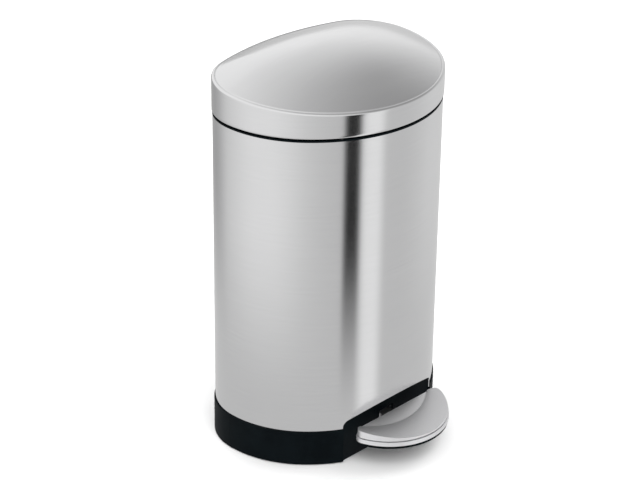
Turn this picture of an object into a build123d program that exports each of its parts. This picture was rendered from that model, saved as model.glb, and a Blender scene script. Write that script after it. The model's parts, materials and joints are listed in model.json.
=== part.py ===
from build123d import *
import math
import os

# Pedal bin, millimetres. +Z is up, the pedal is at -Y and the flat hinged back is at +Y.
os.makedirs("parts", exist_ok=True)

# Everything is drawn about the body's own plan, then moved this far back so that the
# origin is the bottom centre of the whole bin.
CENTRE_Y = 29.5

# Plan of the steel body: a nose arc, two side arcs, two corner arcs and a nearly flat back arc.
NOSE_R = 127.8
NOSE_Y = 24.0
NOSE_SWEEP = 47.0
SIDE_R = 99.2
SIDE_END = 93.0
BACK_Y = 73.3
BACK_R = 297.0

# Heights.
BASE_BOTTOM = 1.2
BASE_TOP = 37.0
STEEL_BOTTOM = 33.0
STEEL_TOP = 340.0
DECK_BOTTOM = 43.5
DECK_TOP = 46.0
RIM_TOP = 341.5
LEDGE_TOP = 326.0
BAND_BOTTOM = 343.6
CREASE_Z = 373.2
CREASE_SLOPE = 0.072
DOME_RISE = 24.0
DOME_REACH = 87.0
DOME_MIDDLE_Y = -17.0

# Walls.
STEEL_WALL = 0.8
BASE_PROUD = 1.2
LID_PROUD = 0.8
LID_WALL = 0.8

# Arched pedal recess in the front of the body and base.
ARCH_HALF = 62.5
ARCH_R = 131.6
ARCH_TOP = 60.0
ARCH_SHOULDER = 9.0
RECESS_Y = -87.0
HOOD_WALL = 2.5

# Bucket.
BUCKET_BACK = 58.7
BUCKET_BOTTOM = 48.0
BUCKET_TOP = 328.0
BUCKET_WALL = 1.8

# Lid hinge, crank pin, and the lift rod behind the bucket.
HINGE_Y = 77.7
HINGE_Z = 338.0
HINGE_PIN_R = 1.5
CRANK_Y = 64.68
CRANK_Z = 327.07
CRANK_PIN_R = 2.0
ROD_Y = 62.7
ROD_R = 2.0
RUNNING = 0.06

# Pedal lever, its axle and its rear pin.
AXLE_Y = -40.3
AXLE_Z = 26.0
AXLE_R = 3.0
LINK_Y = 62.42
LINK_Z = 15.07
LINK_R = 2.5
LEVER_HALF = 8.0
LEVER_WALL = 2.0

# Pedal: a D with its straight edge towards the recess.
PEDAL_R = 59.5
PEDAL_CENTRE_Y = -88.0
PEDAL_BACK_Y = -97.0
PEDAL_CORNER = 8.0
RIM_BOTTOM = 28.4
PEDAL_BOTTOM = 25.4
LIP_Z = 32.6
TREAD_BOTTOM = 33.3
TREAD_LOW = 34.9
TREAD_VALLEY_R = 290.0
RAMP_Z = 33.9
RAMP_SLOPE = 0.27
STEP_R = 79.0
STEP_FRONT_Y = -113.5

# Damper beside the lift rod.
DAMPER_X = 20.0
DAMPER_R = 6.0
DAMPER_BORE = 4.2

# Fittings: back face of the hinge housing, front edge of the lid's hinge leaf, and places in plan
HOUSING_BACK = 89.8
LEAF_FRONT = 35.0
LID_SCREWS = [(-22, 45), (22, 45), (-22, 61), (22, 61)]
FEET = [(-60, -66), (60, -66), (-72, 40), (72, 40)]


def save(name, shape):
    export_step(Pos(0, CENTRE_Y, 0) * shape, "parts/" + name + ".step")


def plan(grow, back=BACK_Y):
    """Face of the D plan, grown outwards, with the back's middle at the given Y before growing."""
    nose = math.radians(NOSE_SWEEP)
    end = math.radians(SIDE_END)
    end_x, end_y = math.sin(end), -math.cos(end)
    side_x = (NOSE_R - SIDE_R) * math.sin(nose)
    side_y = NOSE_Y - (NOSE_R - SIDE_R) * math.cos(nose)
    # The corner arc touches the side arc where that ends, and touches the back arc from inside.
    from_x = side_x + SIDE_R * end_x
    from_y = side_y + SIDE_R * end_y - (back - BACK_R)
    reach = from_x**2 + from_y**2
    corner_r = (BACK_R**2 - reach) / (2 * (BACK_R - from_x * end_x - from_y * end_y))
    corner_x = side_x + (SIDE_R - corner_r) * end_x
    corner_y = side_y + (SIDE_R - corner_r) * end_y
    turn = math.degrees(math.atan2(corner_x, back - BACK_R - corner_y))
    side = SIDE_END - NOSE_SWEEP
    corner = turn - SIDE_END
    edges = [
        CenterArc((0, NOSE_Y), NOSE_R + grow, -90 - NOSE_SWEEP, 2 * NOSE_SWEEP),
        CenterArc((side_x, side_y), SIDE_R + grow, NOSE_SWEEP - 90, side),
        CenterArc((corner_x, corner_y), corner_r + grow, SIDE_END - 90, corner),
        CenterArc((0, back - BACK_R), BACK_R + grow, turn - 90, 2 * (180 - turn)),
        CenterArc((-corner_x, corner_y), corner_r + grow, 270 - turn, corner),
        CenterArc((-side_x, side_y), SIDE_R + grow, 270 - SIDE_END, side),
    ]
    return make_face(Wire(edges))


def prism(grow, low, high, back=BACK_Y):
    return Pos(0, 0, low) * extrude(plan(grow, back), high - low)


def ring(outer, inner, low, high):
    return prism(outer, low, high) - prism(inner, low - 1, high + 1)


def box(x0, x1, y0, y1, z0, z1):
    return Pos((x0 + x1) / 2, (y0 + y1) / 2, (z0 + z1) / 2) * Box(x1 - x0, y1 - y0, z1 - z0)


def rod_x(x0, x1, y, z, radius):
    return Pos((x0 + x1) / 2, y, z) * Rot(0, 90, 0) * Cylinder(radius, x1 - x0)


def rod_y(x, y0, y1, z, radius):
    return Pos(x, (y0 + y1) / 2, z) * Rot(90, 0, 0) * Cylinder(radius, y1 - y0)


def rod_z(x, y, z0, z1, radius):
    return Pos(x, y, (z0 + z1) / 2) * Cylinder(radius, z1 - z0)


def side_profile(points, x0, x1):
    """Extrude a polygon drawn in Y, Z along X."""
    face = make_face(Polyline(*[(x0, y, z) for y, z in points], close=True))
    return extrude(face, amount=x1 - x0, dir=(1, 0, 0))


def arch(grow, y0, y1, low):
    """Solid of the recess opening: straight sides, rounded shoulders and an arched top."""
    radius = ARCH_R + grow
    half = ARCH_HALF + grow
    centre = ARCH_TOP - ARCH_R
    spring = centre + math.sqrt(radius**2 - half**2)
    sketch = make_face(
        [
            Line((-half, low), (half, low)),
            Line((half, low), (half, spring)),
            ThreePointArc((half, spring), (0, centre + radius), (-half, spring)),
            Line((-half, spring), (-half, low)),
        ]
    )
    solid = extrude(Plane.XZ * sketch, -(y1 - y0))
    solid = Pos(0, y0, 0) * solid
    shoulders = solid.edges().filter_by(Axis.Y).group_by(Axis.Z)[-1]
    return fillet(shoulders, ARCH_SHOULDER + grow)


# ---- base ----
def base_pan():
    solid = prism(BASE_PROUD, BASE_BOTTOM, BASE_TOP)
    solid += prism(-STEEL_WALL, STEEL_BOTTOM, DECK_TOP)
    solid -= prism(-3.3, 0, DECK_BOTTOM)
    solid -= ring(0, -STEEL_WALL, STEEL_BOTTOM, BASE_TOP + 1)
    solid -= arch(0, -120, RECESS_Y, -5)
    hood = arch(HOOD_WALL, -120, RECESS_Y + HOOD_WALL, BASE_BOTTOM) - arch(0, -130, RECESS_Y, -5)
    solid += hood & prism(-STEEL_WALL, BASE_BOTTOM, ARCH_TOP + 10)
    solid -= box(-10, 10, RECESS_Y - 1, RECESS_Y + HOOD_WALL + 1, 11, 36)
    for x, y in FEET:
        solid += rod_z(x, y, BASE_BOTTOM, DECK_BOTTOM, 10)
        solid -= rod_z(x, y, 0, 4, 8)
    for side in (-1, 1):
        ear = box(9.2, 13.2, AXLE_Y - 8, AXLE_Y + 8, AXLE_Z - 7, DECK_BOTTOM)
        ear -= rod_x(8, 14, AXLE_Y, AXLE_Z, AXLE_R)
        solid += ear if side > 0 else mirror(ear, Plane.YZ)
    for x, y in FEET[2:]:
        solid += box(x - 1, x + 1, y - 30, y - 9.5, 30, DECK_BOTTOM)
    solid -= rod_z(0, ROD_Y, DECK_BOTTOM - 1, DECK_TOP + 1, 6)
    return solid


def rubber_feet():
    return Compound([rod_z(x, y, 0, 4, 8) for x, y in FEET])


# ---- steel body and the black rim that closes its top edge ----
def body_shell():
    solid = ring(0, -STEEL_WALL, STEEL_BOTTOM, STEEL_TOP)
    solid -= arch(0, -120, RECESS_Y, 0)
    for x in (-38, 38):
        solid -= rod_y(x, 60, 75, 305, 1.5)
    return solid


def top_rim():
    solid = ring(0.2, -3, STEEL_TOP, RIM_TOP)
    solid += ring(-STEEL_WALL, -3, LEDGE_TOP - 2, STEEL_TOP)
    shelf = prism(-2, LEDGE_TOP - 2, LEDGE_TOP) - prism(-8.5, 0, 400, BUCKET_BACK)
    solid += shelf & prism(-STEEL_WALL, 0, 400)
    solid -= box(-10, 10, ROD_Y - 7.5, 80, LEDGE_TOP - 5, STEEL_TOP)
    solid -= box(-32.5, 32.5, ROD_Y + 4, 80, 340.8, 345)
    return solid


# ---- bucket, lifted out by the two upright finger tabs on its flange ----
def bucket_tub(grow, low, high, step_y, step_z):
    taper = 5.0 / (BUCKET_TOP - BUCKET_BOTTOM)
    low_face = plan(-14 + grow + taper * (low - BUCKET_BOTTOM), BUCKET_BACK)
    high_face = plan(-14 + grow + taper * (high - BUCKET_BOTTOM), BUCKET_BACK)
    tub = loft([Pos(0, 0, low) * low_face, Pos(0, 0, high) * high_face], ruled=True)
    return tub - box(-130, 130, -130, step_y, low - 1, step_z)


def bucket():
    solid = bucket_tub(0, BUCKET_BOTTOM, BUCKET_TOP, -81, 68)
    solid += prism(-4, BUCKET_TOP - 2, BUCKET_TOP, BUCKET_BACK)
    solid -= bucket_tub(-BUCKET_WALL, BUCKET_BOTTOM + 2, BUCKET_TOP + 2, -79, 70)
    for x in (-113.6, 111.2):
        tab = box(x, x + 2.4, -18, 18, BUCKET_TOP - 1, 337)
        solid += fillet(tab.edges().filter_by(Axis.X).group_by(Axis.Z)[-1], 6)
    return solid


# ---- lid ----
def below_crease(drop):
    """Everything under the tilted plane that divides the lid's band from its dome."""
    tilt = math.degrees(math.atan(CREASE_SLOPE))
    return Pos(0, 0, CREASE_Z - drop) * Rot(tilt, 0, 0) * Pos(0, 0, -100) * Box(400, 400, 200)


def dome(inset, drop):
    """Low crown over the band, from plan outlines that shrink and rise towards its middle."""
    tilt = math.degrees(math.atan(CREASE_SLOPE))
    depth = 53.0
    faces = []
    for step in range(13):
        run = (DOME_REACH - 4) * step / 12
        rise = DOME_RISE * (1 - (1 - run / DOME_REACH) ** 2)
        face = plan(-inset - min(run, depth))
        if run > depth:
            # Too deep for a further offset, so the last outline shrinks towards the middle.
            share = (DOME_REACH - run) / (DOME_REACH - depth)
            face = Pos(0, DOME_MIDDLE_Y, 0) * scale(Pos(0, -DOME_MIDDLE_Y, 0) * face, by=share)
        faces.append(Pos(0, 0, rise) * face)
    return Pos(0, 0, CREASE_Z - drop) * Rot(tilt, 0, 0) * loft(faces, ruled=True)


def lid_shell():
    outer = (prism(LID_PROUD, BAND_BOTTOM, 400) & below_crease(0)) + dome(0.6, 0)
    inner = prism(LID_PROUD - LID_WALL, BAND_BOTTOM - 1, 400) & below_crease(LID_WALL)
    inner += dome(0.6 + LID_WALL, LID_WALL)
    return outer - inner


def lid_liner():
    top = LID_PROUD - LID_WALL
    solid = ring(top, top - 2, 343.8, 356) + prism(top - 1, 344, 346)
    solid += box(-31, 31, LEAF_FRONT, ROD_Y + 6, 343.2, 344.5)
    for x, y in LID_SCREWS:
        solid += rod_z(x, y, 345, 352, 4)
        solid -= rod_z(x, y, 343, 350, 1.5)
    for x in (-70, -35, 0, 35, 70):
        solid += box(x - 1, x + 1, -60, 25, 345.5, 350)
    return solid


def lid_bumpers():
    spots = []
    radius = NOSE_R - 1.4
    for angle in (-32, 32):
        turn = math.radians(angle)
        spots.append((radius * math.sin(turn), NOSE_Y - radius * math.cos(turn)))
    radius = BACK_R - 1.4
    for angle in (-11, 11):
        turn = math.radians(angle)
        spots.append((radius * math.sin(turn), BACK_Y - BACK_R + radius * math.cos(turn)))
    return Compound([rod_z(x, y, 341.8, 343.8, 1.4) for x, y in spots])


def lid_hinge_bracket():
    solid = box(-30, 30, LEAF_FRONT, HINGE_Y + 2, 341.2, 343.2)
    solid += box(-30, 30, HINGE_Y - 3.2, HINGE_Y + 2, 338, 341.5)
    solid += rod_x(-30.5, 30.5, HINGE_Y, HINGE_Z, 4)
    solid -= rod_x(-40, 40, HINGE_Y, HINGE_Z, HINGE_PIN_R + RUNNING)
    for side in (-1, 1):
        low, high = (3.5, 6.5) if side > 0 else (-6.5, -3.5)
        y = CRANK_Y
        ear = side_profile([(y - 3.8, 326), (y - 3.8, 342), (y + 5, 342), (y + 3.8, 326)], low, high)
        ear += rod_x(low, high, CRANK_Y, CRANK_Z, 4.2)
        ear -= rod_x(low - 1, high + 1, CRANK_Y, CRANK_Z, CRANK_PIN_R)
        solid += ear
    for x, y in LID_SCREWS:
        solid -= rod_z(x, y, 340, 345, 1.5)
    return solid


def crank_pin():
    pin = rod_x(-7.5, 7.5, CRANK_Y, CRANK_Z, CRANK_PIN_R)
    pin += rod_x(-7.5, -6.5, CRANK_Y, CRANK_Z, 3)
    pin += rod_x(6.5, 7.5, CRANK_Y, CRANK_Z, 3)
    return pin


def lid_screws():
    screws = []
    for x, y in LID_SCREWS:
        screws.append(rod_z(x, y, 341.2, 349, 1.5) + rod_z(x, y, 339.9, 341.2, 3))
    return Compound(screws)


# ---- hinge at the back ----
def hinge_housing():
    solid = box(-45, 45, 62, HOUSING_BACK, 290, 339.5)
    solid = fillet(solid.edges().filter_by(Axis.Z).group_by(Axis.Y)[-1], 6)
    solid = chamfer(solid.faces().sort_by(Axis.Z)[0].edges().group_by(Axis.Y)[-1], 5)
    solid -= prism(0, 280, 345)
    solid -= box(-31, 31, 60, HINGE_Y + 7, 331, 345)
    for side in (-1, 1):
        block = box(31, 45, HINGE_Y - 3.2, HINGE_Y + 6, 335, 341)
        solid += block if side > 0 else mirror(block, Plane.YZ)
    solid -= rod_x(-44, 44, HINGE_Y, HINGE_Z, HINGE_PIN_R)
    for x in (-38, 38):
        solid -= rod_y(x, 60, 85, 305, 1.5)
    return solid


def hinge_pin():
    return rod_x(-44, 44, HINGE_Y, HINGE_Z, HINGE_PIN_R)


def housing_screws():
    screws = []
    for x in (-38, 38):
        head = rod_y(x, BACK_Y - 5.5, BACK_Y, 305, 3.5) & prism(-STEEL_WALL, 290, 320)
        screws.append(head + rod_y(x, BACK_Y - 5, 84, 305, 1.5))
    return Compound(screws)


# ---- lift rod ----
def lift_rod():
    return rod_z(0, ROD_Y, LINK_Z + 3.6, 318.5, ROD_R)


def slot_x(y0, y1, z, radius, half):
    cut = rod_x(-half, half, y0, z, radius) + rod_x(-half, half, y1, z, radius)
    return cut + box(-half, half, y0, y1, z - radius, z + radius)


def top_yoke():
    solid = box(-3, 3, ROD_Y - 6.5, ROD_Y + 7, 321.5, 332.6) + box(-3, 3, ROD_Y - 4, ROD_Y + 4, 312, 322)
    solid -= slot_x(ROD_Y - 2.6, ROD_Y + 2.6, CRANK_Z, CRANK_PIN_R + 0.5, 5)
    return solid - rod_z(0, ROD_Y, 300, 318.5, ROD_R)


def bottom_yoke():
    solid = box(-4.5, 4.5, ROD_Y - 6.5, ROD_Y + 6, 8.8, 21)
    solid -= slot_x(ROD_Y - 1.2, ROD_Y + 1.2, LINK_Z, LINK_R + 0.4, 6)
    return solid - rod_z(0, ROD_Y, LINK_Z + 3.6, 60, ROD_R)


def rod_guides():
    low = rod_z(0, ROD_Y, DECK_BOTTOM, 54, 6) + rod_z(0, ROD_Y, DECK_TOP, 48, 8.5)
    high = box(-8, 8, ROD_Y - 6, BACK_Y, 240, 250) & prism(-STEEL_WALL, 230, 260)
    bore = rod_z(0, ROD_Y, 30, 300, ROD_R + RUNNING)
    return Compound([low - bore, high - bore])


# ---- damper ----
def damper_cylinder():
    solid = rod_z(DAMPER_X, ROD_Y, 150, 215, DAMPER_R)
    solid -= rod_z(DAMPER_X, ROD_Y, 154, 212, DAMPER_BORE)
    return solid - rod_z(DAMPER_X, ROD_Y, 200, 220, ROD_R + RUNNING)


def damper_clips():
    clips = []
    for z in (162, 200):
        clip = box(DAMPER_X - 9, DAMPER_X + 9, ROD_Y - 2, BACK_Y, z, z + 6)
        clip = clip & prism(-STEEL_WALL, z - 1, z + 7)
        clips.append(clip - rod_z(DAMPER_X, ROD_Y, z - 1, z + 7, DAMPER_R))
    return Compound(clips)


def damper_piston():
    solid = rod_z(DAMPER_X, ROD_Y, 164, 170, DAMPER_BORE - RUNNING)
    return solid + rod_z(DAMPER_X, ROD_Y, 169, 272, ROD_R)


def damper_arm():
    solid = box(-5, DAMPER_X + 5, ROD_Y - 4.5, ROD_Y + 4.5, 264, 272)
    solid = fillet(solid.edges().filter_by(Axis.Z), 4)
    for x in (0, DAMPER_X):
        solid -= rod_z(x, ROD_Y, 260, 280, ROD_R)
    return solid


# ---- pedal lever ----
def pedal_lever():
    axle, link = AXLE_Y, LINK_Y
    outline = [
        (-130, 31.4), (axle - 17, 31.4), (axle, 34), (axle + 15, 32.5), (link, 20.1),
        (link, 10.1), (axle, 18.5), (axle - 25, 23), (-98, 25.5), (-130, 26.6),
    ]
    inside = [
        (-140, 29.4), (axle - 17, 29.4), (axle, 32), (axle + 15, 30.5), (link - 12, 19.6),
        (link + 22, 19.6), (link + 22, 0), (-140, 0),
    ]
    solid = side_profile(outline, -LEVER_HALF, LEVER_HALF)
    solid += rod_x(-LEVER_HALF, LEVER_HALF, LINK_Y, LINK_Z, 5)
    solid -= side_profile(inside, -LEVER_HALF + LEVER_WALL, LEVER_HALF - LEVER_WALL)
    solid -= box(-LEVER_HALF + LEVER_WALL, LEVER_HALF - LEVER_WALL, link - 12, 90, 0, 40)
    solid -= rod_x(-20, 20, AXLE_Y, AXLE_Z, 5)
    for y in (-110, -124):
        solid -= rod_z(0, y, 28, 34, 2)
    return solid - rod_x(-20, 20, LINK_Y, LINK_Z, LINK_R)


def pedal_bushes():
    bushes = []
    for side in (-1, 1):
        bush = rod_x(5.5, LEVER_HALF, AXLE_Y, AXLE_Z, 5) + rod_x(LEVER_HALF, 9.1, AXLE_Y, AXLE_Z, 6.5)
        bush -= rod_x(5, 10, AXLE_Y, AXLE_Z, AXLE_R + RUNNING)
        bushes.append(bush if side > 0 else mirror(bush, Plane.YZ))
    return Compound(bushes)


def pedal_axle():
    axle = rod_x(-16, 16, AXLE_Y, AXLE_Z, AXLE_R)
    for side in (-1, 1):
        cut = rod_x(14, 14.8, AXLE_Y, AXLE_Z, 5) - rod_x(14, 14.8, AXLE_Y, AXLE_Z, 2.3)
        axle -= cut if side > 0 else mirror(cut, Plane.YZ)
    return axle


def axle_clips():
    clips = []
    for side in (-1, 1):
        clip = rod_x(14, 14.8, AXLE_Y, AXLE_Z, 5.5) - rod_x(13, 16, AXLE_Y, AXLE_Z, 2.3)
        clip -= box(13, 16, AXLE_Y - 2, AXLE_Y + 2, AXLE_Z - 8, AXLE_Z)
        clips.append(clip if side > 0 else mirror(clip, Plane.YZ))
    return Compound(clips)


def rear_link_pin():
    pin = rod_x(-9, 9, LINK_Y, LINK_Z, LINK_R)
    pin += rod_x(-9, -8, LINK_Y, LINK_Z, 3.8)
    return pin + rod_x(8, 9, LINK_Y, LINK_Z, 3.8)


# ---- pedal ----
def pedal_plan(grow):
    radius = PEDAL_R + grow
    back = PEDAL_BACK_Y + grow
    half = math.sqrt(radius**2 - (back - PEDAL_CENTRE_Y) ** 2)
    face = make_face(
        [
            ThreePointArc((-half, back), (0, PEDAL_CENTRE_Y - radius), (half, back)),
            Line((half, back), (-half, back)),
        ]
    )
    return fillet(face.vertices(), PEDAL_CORNER + grow)


def pedal_prism(grow, low, high):
    return Pos(0, 0, low) * extrude(pedal_plan(grow), high - low)


def valley(low):
    """Solid below a shallow trough that runs front to back along the pedal's middle."""
    trough = Pos(0, -120, low + TREAD_VALLEY_R) * Rot(90, 0, 0) * Cylinder(TREAD_VALLEY_R, 120)
    return box(-70, 70, -170, -80, 20, 60) - trough


def pedal_tread():
    """Crescent with raised ends; behind it a flat ramp climbs to the straight back edge."""
    solid = pedal_prism(0, TREAD_BOTTOM, 50) & valley(TREAD_LOW)
    step = rod_z(0, STEP_FRONT_Y + STEP_R, TREAD_BOTTOM, 60, STEP_R)
    solid -= step
    rise = RAMP_SLOPE * 40
    ramp = [
        (STEP_FRONT_Y, TREAD_BOTTOM), (STEP_FRONT_Y, RAMP_Z),
        (STEP_FRONT_Y + 40, RAMP_Z + rise), (STEP_FRONT_Y + 40, TREAD_BOTTOM),
    ]
    return solid + (side_profile(ramp, -52, 52) & step & pedal_prism(-0.6, TREAD_BOTTOM, 60))


def pedal_rim():
    solid = pedal_prism(1.2, RIM_BOTTOM, LIP_Z) - pedal_prism(-1.4, 0, 60)
    return solid - box(-8.3, 8.3, -105, -90, 20, 31.6)


def pedal_underside():
    solid = pedal_prism(-1.4, RIM_BOTTOM - 1, TREAD_BOTTOM) + pedal_prism(0.4, PEDAL_BOTTOM, RIM_BOTTOM)
    solid -= box(-LEVER_HALF, LEVER_HALF, -130, -80, 0, 31.4)
    for y in (-110, -124):
        solid -= rod_z(0, y, 30, TREAD_BOTTOM + 1, 2)
    return solid


def pedal_rivets():
    rivets = []
    for y in (-110, -124):
        rivets.append(rod_z(0, y, 29.4, TREAD_BOTTOM, 2) + rod_z(0, y, 28, 29.4, 3.5))
    return Compound(rivets)


NODES = [
    base_pan, rubber_feet, body_shell, top_rim, bucket, lid_shell, lid_liner, lid_bumpers,
    lid_hinge_bracket, crank_pin, lid_screws, hinge_housing, hinge_pin, housing_screws,
    lift_rod, top_yoke, bottom_yoke, rod_guides, damper_cylinder, damper_clips,
    damper_piston, damper_arm, pedal_lever, pedal_bushes, pedal_axle, axle_clips,
    rear_link_pin, pedal_tread, pedal_rim, pedal_underside, pedal_rivets,
]

for node in NODES:
    save(node.__name__, node())
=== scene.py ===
import json
import math

import bpy
from mathutils import Matrix, Vector


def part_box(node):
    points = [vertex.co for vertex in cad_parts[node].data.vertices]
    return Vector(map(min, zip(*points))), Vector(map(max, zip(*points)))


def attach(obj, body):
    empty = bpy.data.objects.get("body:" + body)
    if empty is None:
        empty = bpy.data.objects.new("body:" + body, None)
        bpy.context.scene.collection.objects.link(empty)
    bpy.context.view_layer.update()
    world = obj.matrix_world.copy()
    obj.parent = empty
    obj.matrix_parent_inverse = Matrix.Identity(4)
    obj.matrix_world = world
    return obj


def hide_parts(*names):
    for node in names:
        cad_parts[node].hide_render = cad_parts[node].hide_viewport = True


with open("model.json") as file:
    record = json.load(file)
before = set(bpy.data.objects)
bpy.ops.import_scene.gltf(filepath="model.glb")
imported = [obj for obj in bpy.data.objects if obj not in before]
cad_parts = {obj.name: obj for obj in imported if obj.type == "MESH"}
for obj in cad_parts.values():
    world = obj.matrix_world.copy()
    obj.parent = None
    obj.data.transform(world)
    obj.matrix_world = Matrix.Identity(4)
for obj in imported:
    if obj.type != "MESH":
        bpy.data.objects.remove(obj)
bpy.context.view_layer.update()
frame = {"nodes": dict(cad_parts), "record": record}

# ---------------------------------------------------------------- plan of the body
NOSE_R = 0.1278
SIDE_R = 0.0992
BACK_R = 0.297
NOSE_SWEEP = math.radians(47.0)
SIDE_END = math.radians(93.0)
MIDDLE_BEHIND_NOSE = 0.1038
STEEL = 0.0008

# The pedal recess's arch in the front of the body
ARCH_HALF = 0.0625
ARCH_R = 0.1316
ARCH_TOP = 0.060
SHOULDER = 0.009

body_lo, body_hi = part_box("body_shell")
lid_lo, lid_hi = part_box("lid_shell")

# The nose, side and back arcs, and the corner arc that is tangent to both the side and the back
NOSE_Y = body_lo.y + NOSE_R
SIDE_X = (NOSE_R - SIDE_R) * math.sin(NOSE_SWEEP)
SIDE_Y = NOSE_Y - (NOSE_R - SIDE_R) * math.cos(NOSE_SWEEP)
BACK_Y = body_hi.y - BACK_R
END_X, END_Y = math.sin(SIDE_END), -math.cos(SIDE_END)
FROM_X, FROM_Y = SIDE_X + SIDE_R * END_X, SIDE_Y + SIDE_R * END_Y - BACK_Y
CORNER_R = (BACK_R**2 - FROM_X**2 - FROM_Y**2) / (2 * (BACK_R - FROM_X * END_X - FROM_Y * END_Y))
CORNER_X = SIDE_X + (SIDE_R - CORNER_R) * END_X
CORNER_Y = SIDE_Y + (SIDE_R - CORNER_R) * END_Y
CORNER_END = math.atan2(CORNER_X, BACK_Y - CORNER_Y)
PLAN_Y = body_lo.y + MIDDLE_BEHIND_NOSE


def half_outline():
    """Points of the right half as (x, y, nx, ny), from the front middle to the back middle."""
    points = []
    nose = [NOSE_SWEEP * i / 60 for i in range(60)]
    for share in (0.0, 0.2, 0.4, 0.6, 0.75, 0.87, 0.95, 1.0, 1.005):
        nose.append(math.asin((ARCH_HALF - SHOULDER * (1 - share)) / NOSE_R))
    for t in sorted(nose):
        points.append((0.0, NOSE_Y, NOSE_R, t))
    for i in range(72):
        points.append((SIDE_X, SIDE_Y, SIDE_R, NOSE_SWEEP + (SIDE_END - NOSE_SWEEP) * i / 72))
    for i in range(60):
        points.append((CORNER_X, CORNER_Y, CORNER_R, SIDE_END + (CORNER_END - SIDE_END) * i / 60))
    for i in range(25):
        points.append((0.0, BACK_Y, BACK_R, CORNER_END + (math.pi - CORNER_END) * i / 24))
    out = []
    for cx, cy, radius, t in points:
        nx, ny = math.sin(t), -math.cos(t)
        out.append((cx + radius * nx, cy + radius * ny, nx, ny))
    return out


RIGHT = half_outline()
LEFT = [(-x, y, -nx, ny) for x, y, nx, ny in RIGHT[1:-1]]
OUTLINE = RIGHT + LEFT[::-1]


def arch_height(x):
    """Height of the recess's arch at x, with its rounded shoulders."""
    x = abs(x)
    centre = ARCH_TOP - ARCH_R
    inner = ARCH_HALF - SHOULDER
    shoulder_z = centre + math.sqrt((ARCH_R - SHOULDER) ** 2 - inner**2)
    meet = ARCH_R * inner / (ARCH_R - SHOULDER)
    if x <= meet:
        return centre + math.sqrt(ARCH_R**2 - x * x)
    return shoulder_z + math.sqrt(max(0.0, SHOULDER**2 - (x - inner) ** 2))


# ---------------------------------------------------------------- mesh helpers
def make_mesh(name, verts, faces, smooth=40.0):
    """Object with smooth shading, and sharp edges where faces turn by more than smooth degrees."""
    mesh = bpy.data.meshes.new(name)
    mesh.from_pydata(verts, [], faces)
    mesh.validate()
    obj = bpy.data.objects.new(name, mesh)
    bpy.context.scene.collection.objects.link(obj)
    mesh.shade_smooth()
    bpy.context.view_layer.objects.active = obj
    obj.select_set(True)
    bpy.ops.object.shade_smooth_by_angle(angle=math.radians(smooth))
    obj.select_set(False)
    return obj


def loops_to_mesh(loops, close_rows=False):
    """Quads between closed loops of equal length, stacked in order."""
    count = len(loops[0])
    verts = [v for loop in loops for v in loop]
    faces = []
    rows = len(loops) if close_rows else len(loops) - 1
    for r in range(rows):
        low, high = r * count, ((r + 1) % len(loops)) * count
        for i in range(count):
            j = (i + 1) % count
            faces.append((low + i, low + j, high + j, high + i))
    return verts, faces


# ---------------------------------------------------------------- materials
def new_material(name):
    mat = bpy.data.materials.new(name)
    mat.use_nodes = True
    return mat, mat.node_tree.nodes, mat.node_tree.links


def stretched_noise(nodes, links, scale, detail=6.0, roughness=0.6):
    coord = nodes.new("ShaderNodeTexCoord")
    mapping = nodes.new("ShaderNodeMapping")
    mapping.inputs["Scale"].default_value = scale
    noise = nodes.new("ShaderNodeTexNoise")
    noise.inputs["Scale"].default_value = 1.0
    noise.inputs["Detail"].default_value = detail
    noise.inputs["Roughness"].default_value = roughness
    links.new(coord.outputs["Object"], mapping.inputs["Vector"])
    links.new(mapping.outputs["Vector"], noise.inputs["Vector"])
    return noise


def ramp_colour(nodes, links, source, low, high, start=0.35, end=0.65):
    ramp = nodes.new("ShaderNodeValToRGB")
    ramp.color_ramp.elements[0].position = start
    ramp.color_ramp.elements[0].color = (*low, 1)
    ramp.color_ramp.elements[1].position = end
    ramp.color_ramp.elements[1].color = (*high, 1)
    links.new(source, ramp.inputs["Fac"])
    return ramp


def noise_range(nodes, links, source, low, high):
    """Spreads the middle of a noise's range over low to high."""
    node = nodes.new("ShaderNodeMapRange")
    node.inputs["From Min"].default_value = 0.3
    node.inputs["From Max"].default_value = 0.7
    node.inputs["To Min"].default_value = low
    node.inputs["To Max"].default_value = high
    links.new(source, node.inputs["Value"])
    return node


def bump(nodes, links, source, strength, distance):
    node = nodes.new("ShaderNodeBump")
    node.inputs["Strength"].default_value = strength
    node.inputs["Distance"].default_value = distance
    links.new(source, node.inputs["Height"])
    return node


LINE_SHARE = 0.75
RELIEF = 0.0002


def brushed_steel(name, scale, low, high, rough, strength=0.012):
    """Satin stainless sheet with fine drawn lines along the axes where scale is small."""
    mat, nodes, links = new_material(name)
    shader = nodes["Principled BSDF"]
    shader.inputs["Metallic"].default_value = 1.0
    lines = stretched_noise(nodes, links, scale)
    cloud = stretched_noise(nodes, links, (9, 9, 9), 3.0)
    mix = nodes.new("ShaderNodeMath")
    mix.operation = "MULTIPLY_ADD"
    mix.inputs[1].default_value = LINE_SHARE
    links.new(lines.outputs["Fac"], mix.inputs[0])
    rest = nodes.new("ShaderNodeMath")
    rest.operation = "MULTIPLY"
    rest.inputs[1].default_value = 1 - LINE_SHARE
    links.new(cloud.outputs["Fac"], rest.inputs[0])
    links.new(rest.outputs[0], mix.inputs[2])
    colour = ramp_colour(nodes, links, mix.outputs[0], low, high)
    links.new(colour.outputs["Color"], shader.inputs["Base Color"])
    roughness = noise_range(nodes, links, mix.outputs[0], rough + 0.05, rough - 0.04)
    links.new(roughness.outputs[0], shader.inputs["Roughness"])
    relief = bump(nodes, links, lines.outputs["Fac"], strength, RELIEF)
    links.new(relief.outputs["Normal"], shader.inputs["Normal"])
    return mat


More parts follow.
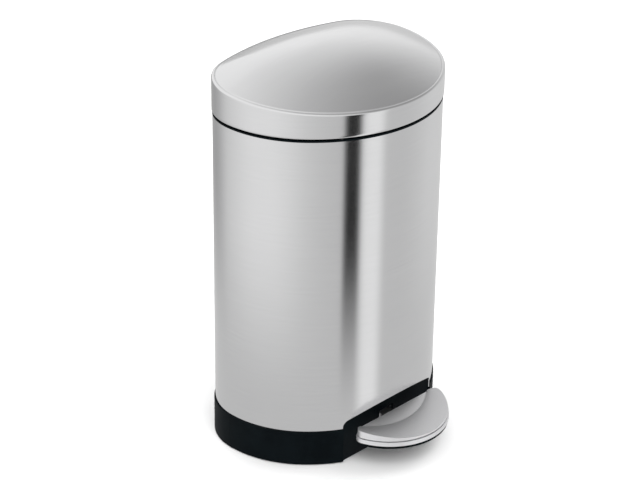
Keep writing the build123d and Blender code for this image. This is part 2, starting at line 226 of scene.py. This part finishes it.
def moulded_plastic(name, low, high, rough, grain=1400.0, strength=0.12, coat=0.0, gloss=0.5):
    """Plastic with a fine moulded grain and slight unevenness of colour and gloss."""
    mat, nodes, links = new_material(name)
    shader = nodes["Principled BSDF"]
    shader.inputs["Specular IOR Level"].default_value = gloss
    shader.inputs["Coat Weight"].default_value = coat
    shader.inputs["Coat Roughness"].default_value = 0.25
    fine = stretched_noise(nodes, links, (grain, grain, grain), 2.0)
    cloud = stretched_noise(nodes, links, (35, 35, 35), 4.0)
    colour = ramp_colour(nodes, links, cloud.outputs["Fac"], low, high)
    links.new(colour.outputs["Color"], shader.inputs["Base Color"])
    roughness = noise_range(nodes, links, cloud.outputs["Fac"], rough - 0.05, rough + 0.06)
    links.new(roughness.outputs[0], shader.inputs["Roughness"])
    relief = bump(nodes, links, fine.outputs["Fac"], strength, RELIEF)
    links.new(relief.outputs["Normal"], shader.inputs["Normal"])
    return mat


# Drawn lines that run round the body, and lines that run across the lid and pedal
AROUND = (20, 20, 5200)
ACROSS = (20, 5200, 20)
GRAINY = (900, 900, 900)
SHEET = ((0.655, 0.655, 0.66), (0.70, 0.70, 0.705))
# Pedal steel: the body's stainless with its colour painted much lighter, a painted highlight for the
# light its upturned faces catch; the random tone within it is real
PAINTED_HIGHLIGHT_PEDAL_SHEET = ((0.88, 0.88, 0.89), (0.93, 0.93, 0.94))
PLATED = ((0.46, 0.46, 0.48), (0.62, 0.62, 0.63))
BLACK = ((0.0015, 0.003, 0.004), (0.003, 0.0055, 0.007))
CHARCOAL = ((0.02, 0.02, 0.022), (0.032, 0.033, 0.035))
IVORY = ((0.62, 0.61, 0.56), (0.72, 0.71, 0.66))
SOOT = ((0.012, 0.012, 0.012), (0.022, 0.022, 0.022))
GLOSS_BLACK = ((0.008, 0.008, 0.009), (0.012, 0.012, 0.013))
MATERIALS = {
    "shell": brushed_steel("brushed shell", AROUND, *SHEET, 0.14),
    "dome": brushed_steel("brushed dome", ACROSS, *SHEET, 0.22),
    # The pedal's lighter steel colour is painted highlight, not a different metal
    "tread": brushed_steel("brushed tread with painted highlight", ACROSS, *PAINTED_HIGHLIGHT_PEDAL_SHEET, 0.52),
    "plate": brushed_steel("plated steel", GRAINY, *PLATED, 0.38, strength=0.04),
    "black": moulded_plastic("black moulding", *BLACK, 0.5, gloss=0.04),
    "bucket": moulded_plastic("bucket moulding", *CHARCOAL, 0.5, grain=900.0),
    "nylon": moulded_plastic("bearing plastic", *IVORY, 0.45, grain=700.0),
    "rubber": moulded_plastic("rubber", *SOOT, 0.8, grain=500.0, strength=0.3),
    "damper": moulded_plastic("damper gloss", *GLOSS_BLACK, 0.2, grain=300.0, strength=0.02, coat=0.4),
}

SLOT_MATERIAL = {
    "brushed_shell": "shell",
    "plate_steel": "plate",
    "black_plastic": "black",
    "bucket_plastic": "bucket",
    "nylon": "nylon",
    "rubber": "rubber",
    "damper_black": "damper",
}
PEDAL_STEEL = ("pedal_tread", "pedal_rim")
for part in frame["record"]["subparts"]:
    node = frame["nodes"][part["node"]]
    key = "tread" if part["node"] in PEDAL_STEEL else SLOT_MATERIAL[part["material_slot"]]
    node.data.materials.clear()
    node.data.materials.append(MATERIALS[key])


# ---------------------------------------------------------------- steel body
def steel_body():
    """Sheet wall whose lower edge follows the recess's arch at the front."""
    def foot(x, y):
        if y < NOSE_Y and abs(x) <= ARCH_HALF + 1e-6:
            return arch_height(x)
        return body_lo.z

    rows = 24
    loops = []
    for r in range(rows + 1):
        share = r / rows
        loop = []
        for x, y, nx, ny in OUTLINE:
            low = foot(x, y)
            loop.append((x, y, low + (body_hi.z - low) * share))
        loops.append(loop)
    inner = []
    for share in (1.0, 0.0):
        loop = []
        for x, y, nx, ny in OUTLINE:
            low = foot(x, y)
            loop.append((x - nx * STEEL, y - ny * STEEL, low + (body_hi.z - low) * share))
        inner.append(loop)
    verts, faces = loops_to_mesh(loops + inner, close_rows=True)
    return make_mesh("steel_body", verts, faces)


body = steel_body()
body.data.materials.append(MATERIALS["shell"])
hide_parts("body_shell")
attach(body, "bin")


# ---------------------------------------------------------------- lid
CREASE_Z = 0.3732
CREASE_SLOPE = 0.072
LID_PROUD = lid_hi.x - body_hi.x
HEM = 0.0002
HEM_HEIGHT = 0.0003
BAND_ROWS = 10
BEAD_R = 0.0026
BEAD_ROWS = 8

# Shallow groove inside the bead, as distance in from it and depth, and where the crown starts
GROOVE = [(0.0004, 0.0002), (0.0007, 0.0007), (0.0010, 0.0007), (0.0013, 0.0002)]
CROWN_IN = 0.0016
CROWN_RINGS = [1.0, 0.992, 0.98] + [0.96 - 0.04 * i for i in range(24)]
DOME_MIDDLE_Y = PLAN_Y - 0.017
DOME_RISE = 0.024
ROUND_R = 0.104
ROUND_START = 0.75


def crease(y):
    """Height of the lid's crease, which slopes up towards the back."""
    return CREASE_Z + CREASE_SLOPE * (y - PLAN_Y)


def offset_loop(grow, height):
    return [(x + nx * grow, y + ny * grow, height(y)) for x, y, nx, ny in OUTLINE]


def dome_loop(ring, start):
    """One level of the crown: the plan scaled towards the middle, rounder as it shrinks."""
    loop = []
    for x, y, nx, ny in OUTLINE:
        px, py = x + nx * start, y + ny * start - DOME_MIDDLE_Y
        reach = math.hypot(px, py)
        blend = min(1.0, max(0.0, (ROUND_START - ring) / ROUND_START)) ** 1.5
        radius = ring * (reach * (1 - blend) + ROUND_R * blend)
        qx, qy = px / reach * radius, py / reach * radius + DOME_MIDDLE_Y
        loop.append((qx, qy, crease(qy) + DOME_RISE * (1 - ring**2)))
    return loop


def steel_lid():
    """Band, rounded bead, groove and crown in one sheet, open underneath."""
    low = lid_lo.z
    edge = LID_PROUD - BEAD_R

    def band_z(y, share):
        return low + HEM_HEIGHT + (crease(y) - BEAD_R - low - HEM_HEIGHT) * share

    loops = [offset_loop(LID_PROUD - STEEL, lambda y: low + HEM)]
    loops.append(offset_loop(LID_PROUD - HEM, lambda y: low))
    for i in range(BAND_ROWS + 1):
        loops.append(offset_loop(LID_PROUD, lambda y: band_z(y, i / BAND_ROWS)))
    for i in range(1, BEAD_ROWS + 1):
        turn = math.pi / 2 * i / BEAD_ROWS
        grow = edge + BEAD_R * math.cos(turn)
        loops.append(offset_loop(grow, lambda y: crease(y) - BEAD_R * (1 - math.sin(turn))))
    shell_rows = len(loops) - 1
    for inset, depth in GROOVE:
        loops.append(offset_loop(edge - inset, lambda y: crease(y) - depth))
    for ring in CROWN_RINGS:
        loops.append(dome_loop(ring, edge - CROWN_IN))
    verts, faces = loops_to_mesh(loops)
    count = len(OUTLINE)
    verts.append((0.0, DOME_MIDDLE_Y, crease(DOME_MIDDLE_Y) + DOME_RISE))
    top = (len(loops) - 1) * count
    for i in range(count):
        faces.append((top + i, top + (i + 1) % count, len(verts) - 1))
    obj = make_mesh("steel_lid", verts, faces, 50.0)
    obj.data.materials.append(MATERIALS["shell"])
    obj.data.materials.append(MATERIALS["dome"])
    for polygon in obj.data.polygons:
        polygon.material_index = 1 if polygon.index >= shell_rows * count else 0
    return obj


lid = steel_lid()
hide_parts("lid_shell")
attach(lid, "lid")


# ---------------------------------------------------------------- floor and studio
def floor():
    """Pale floor, left out of reflections so that the studio's panels show below it."""
    size, parts = 5.0, 20
    verts = []
    for j in range(parts + 1):
        for i in range(parts + 1):
            verts.append((-size + 2 * size * i / parts, -size + 2 * size * j / parts, 0.0))
    faces = []
    for j in range(parts):
        for i in range(parts):
            a = j * (parts + 1) + i
            faces.append((a, a + 1, a + parts + 2, a + parts + 1))
    obj = make_mesh("floor", verts, faces)
    mat, nodes, links = new_material("pale floor")
    shader = nodes["Principled BSDF"]
    shader.inputs["Roughness"].default_value = 0.9
    shader.inputs["Specular IOR Level"].default_value = 0.1
    cloud = stretched_noise(nodes, links, (3, 3, 3), 3.0)
    colour = ramp_colour(nodes, links, cloud.outputs["Fac"], (0.92, 0.92, 0.92), (0.94, 0.94, 0.94))
    links.new(colour.outputs["Color"], shader.inputs["Base Color"])
    obj.data.materials.append(mat)
    obj.visible_glossy = False
    return obj


floor()


# Panels of the studio that the steel mirrors: name, direction of the middle in degrees from
# straight ahead of the pedal towards +X, half its width and half its soft edge in degrees,
# brightness, and the height where it ends. Between and below them the surround shows.
SURROUND = 0.70
PANELS = [
    ("dim back", 180, 30, 25, 0.45, -0.14),
    ("left softbox", -90, 35, 30, 1.0, -0.16),
    ("right softbox", 70, 20, 20, 0.80, -0.16),
    ("black flag", -13, 7, 2, 0.01, -0.18),
    ("strip light", 4, 9, 5, 1.05, -0.55),
]
WALL_RADIUS = 0.46
WALL_TOP = 0.41
WALL_BOTTOM = -0.9
PANEL_FADE = 0.26


def soft_panel(nodes, links, position, height, below, middle, half, edge, level, end):
    """Mixes one soft-edged panel over the colour below it, fading out towards its lower end."""
    turn = math.radians(middle)
    facing = nodes.new("ShaderNodeVectorMath")
    facing.operation = "DOT_PRODUCT"
    facing.inputs[1].default_value = (math.sin(turn) / WALL_RADIUS, -math.cos(turn) / WALL_RADIUS, 0)
    links.new(position, facing.inputs[0])
    away = nodes.new("ShaderNodeMath")
    away.operation = "ARCCOSINE"
    links.new(facing.outputs["Value"], away.inputs[0])
    inside = nodes.new("ShaderNodeMapRange")
    inside.interpolation_type = "SMOOTHSTEP"
    inside.inputs["From Min"].default_value = math.radians(half + edge)
    inside.inputs["From Max"].default_value = math.radians(half - edge)
    links.new(away.outputs[0], inside.inputs["Value"])
    fade = nodes.new("ShaderNodeMapRange")
    fade.interpolation_type = "SMOOTHSTEP"
    fade.inputs["From Min"].default_value = end
    fade.inputs["From Max"].default_value = end + PANEL_FADE
    links.new(height, fade.inputs["Value"])
    share = nodes.new("ShaderNodeMath")
    share.operation = "MULTIPLY"
    links.new(inside.outputs[0], share.inputs[0])
    links.new(fade.outputs[0], share.inputs[1])
    mix = nodes.new("ShaderNodeMix")
    mix.data_type = "RGBA"
    mix.inputs["B"].default_value = (level, level, level, 1)
    links.new(share.outputs[0], mix.inputs["Factor"])
    if below is None:
        mix.inputs["A"].default_value = (SURROUND, SURROUND, SURROUND, 1)
    else:
        links.new(below, mix.inputs["A"])
    return mix.outputs["Result"]


def studio_walls():
    """Ring of light and dark panels, seen only in reflections."""
    parts, verts, faces = 240, [], []
    for i in range(parts):
        turn = 2 * math.pi * i / parts
        x, y = WALL_RADIUS * math.sin(turn), -WALL_RADIUS * math.cos(turn)
        verts += [(x, y, WALL_BOTTOM), (x, y, WALL_TOP)]
    for i in range(parts):
        a, b = 2 * i, 2 * ((i + 1) % parts)
        faces.append((a, b, b + 1, a + 1))
    obj = make_mesh("studio_walls", verts, faces)
    obj.location = (0, PLAN_Y, 0)
    mat, nodes, links = new_material("studio walls")
    nodes.remove(nodes["Principled BSDF"])
    coord = nodes.new("ShaderNodeTexCoord")
    split = nodes.new("ShaderNodeSeparateXYZ")
    links.new(coord.outputs["Object"], split.inputs[0])
    colour = None
    for _name, *shape in PANELS:
        colour = soft_panel(nodes, links, coord.outputs["Object"], split.outputs["Z"], colour, *shape)
    glow = nodes.new("ShaderNodeEmission")
    links.new(colour, glow.inputs["Color"])
    links.new(glow.outputs[0], nodes["Material Output"].inputs["Surface"])
    obj.data.materials.append(mat)
    obj.visible_camera = False
    obj.visible_diffuse = False
    obj.visible_shadow = False
    return obj


studio_walls()


TOWARDS_BRIGHT = (-1.2, 0.71, -1.52)
SKY_DARK, SKY_BRIGHT = 0.4, 1.1
SKY_START, SKY_END = -2.0, -0.8


def sky():
    """Soft sky, brightest low down at the back left and grey overhead."""
    world = bpy.data.worlds.new("studio")
    bpy.context.scene.world = world
    world.use_nodes = True
    nodes, links = world.node_tree.nodes, world.node_tree.links
    coord = nodes.new("ShaderNodeTexCoord")
    lean = nodes.new("ShaderNodeVectorMath")
    lean.operation = "DOT_PRODUCT"
    lean.inputs[1].default_value = TOWARDS_BRIGHT
    links.new(coord.outputs["Generated"], lean.inputs[0])
    level = nodes.new("ShaderNodeMapRange")
    level.inputs["From Min"].default_value = SKY_START
    level.inputs["From Max"].default_value = SKY_END
    level.inputs["To Min"].default_value = SKY_DARK
    level.inputs["To Max"].default_value = SKY_BRIGHT
    links.new(lean.outputs["Value"], level.inputs["Value"])
    links.new(level.outputs[0], nodes["Background"].inputs["Color"])


sky()


LIT_POINT = (0, 0, 0.1)


def area_light(name, place, size, power):
    """Soft rectangular light aimed at the object, unseen in reflections."""
    data = bpy.data.lights.new(name, "AREA")
    data.shape = "RECTANGLE"
    data.size, data.size_y = size
    data.energy = power
    obj = bpy.data.objects.new(name, data)
    bpy.context.scene.collection.objects.link(obj)
    obj.location = place
    direction = Vector(LIT_POINT) - Vector(place)
    obj.rotation_euler = direction.to_track_quat("-Z", "Y").to_euler()
    obj.visible_glossy = False
    return obj


area_light("key", (-0.9, -1.6, 2.2), (1.6, 1.6), 34)
area_light("fill", (1.6, -0.6, 1.9), (1.6, 1.6), 26)
area_light("back", (0.2, 1.9, 2.0), (2.0, 1.2), 22)


# ---------------------------------------------------------------- camera
AZIMUTH = math.radians(46.27)
ELEVATION = math.radians(26.46)
ROLL = math.radians(0.85)
DISTANCE = 2.0364
AIM_Z = 0.190
LENS = 117.6
SHIFT = (-0.0076, -0.0032)


def camera():
    """Camera to the left of the pedal, looking down at the bin."""
    turn, tilt = AZIMUTH, ELEVATION
    target = Vector((0, PLAN_Y, AIM_Z))
    away = Vector((-math.sin(turn) * math.cos(tilt), -math.cos(turn) * math.cos(tilt), math.sin(tilt)))
    right = Vector((math.cos(turn), -math.sin(turn), 0))
    up = away.cross(right)
    place = target + away * DISTANCE
    data = bpy.data.cameras.new("camera")
    data.lens = LENS
    data.shift_x, data.shift_y = SHIFT
    obj = bpy.data.objects.new("camera", data)
    bpy.context.scene.collection.objects.link(obj)
    basis = Matrix((right, up, away)).transposed().to_4x4()
    obj.matrix_world = Matrix.Translation(place) @ basis @ Matrix.Rotation(ROLL, 4, "Z")
    bpy.context.scene.camera = obj


camera()
bpy.context.scene.view_settings.view_transform = "Standard"
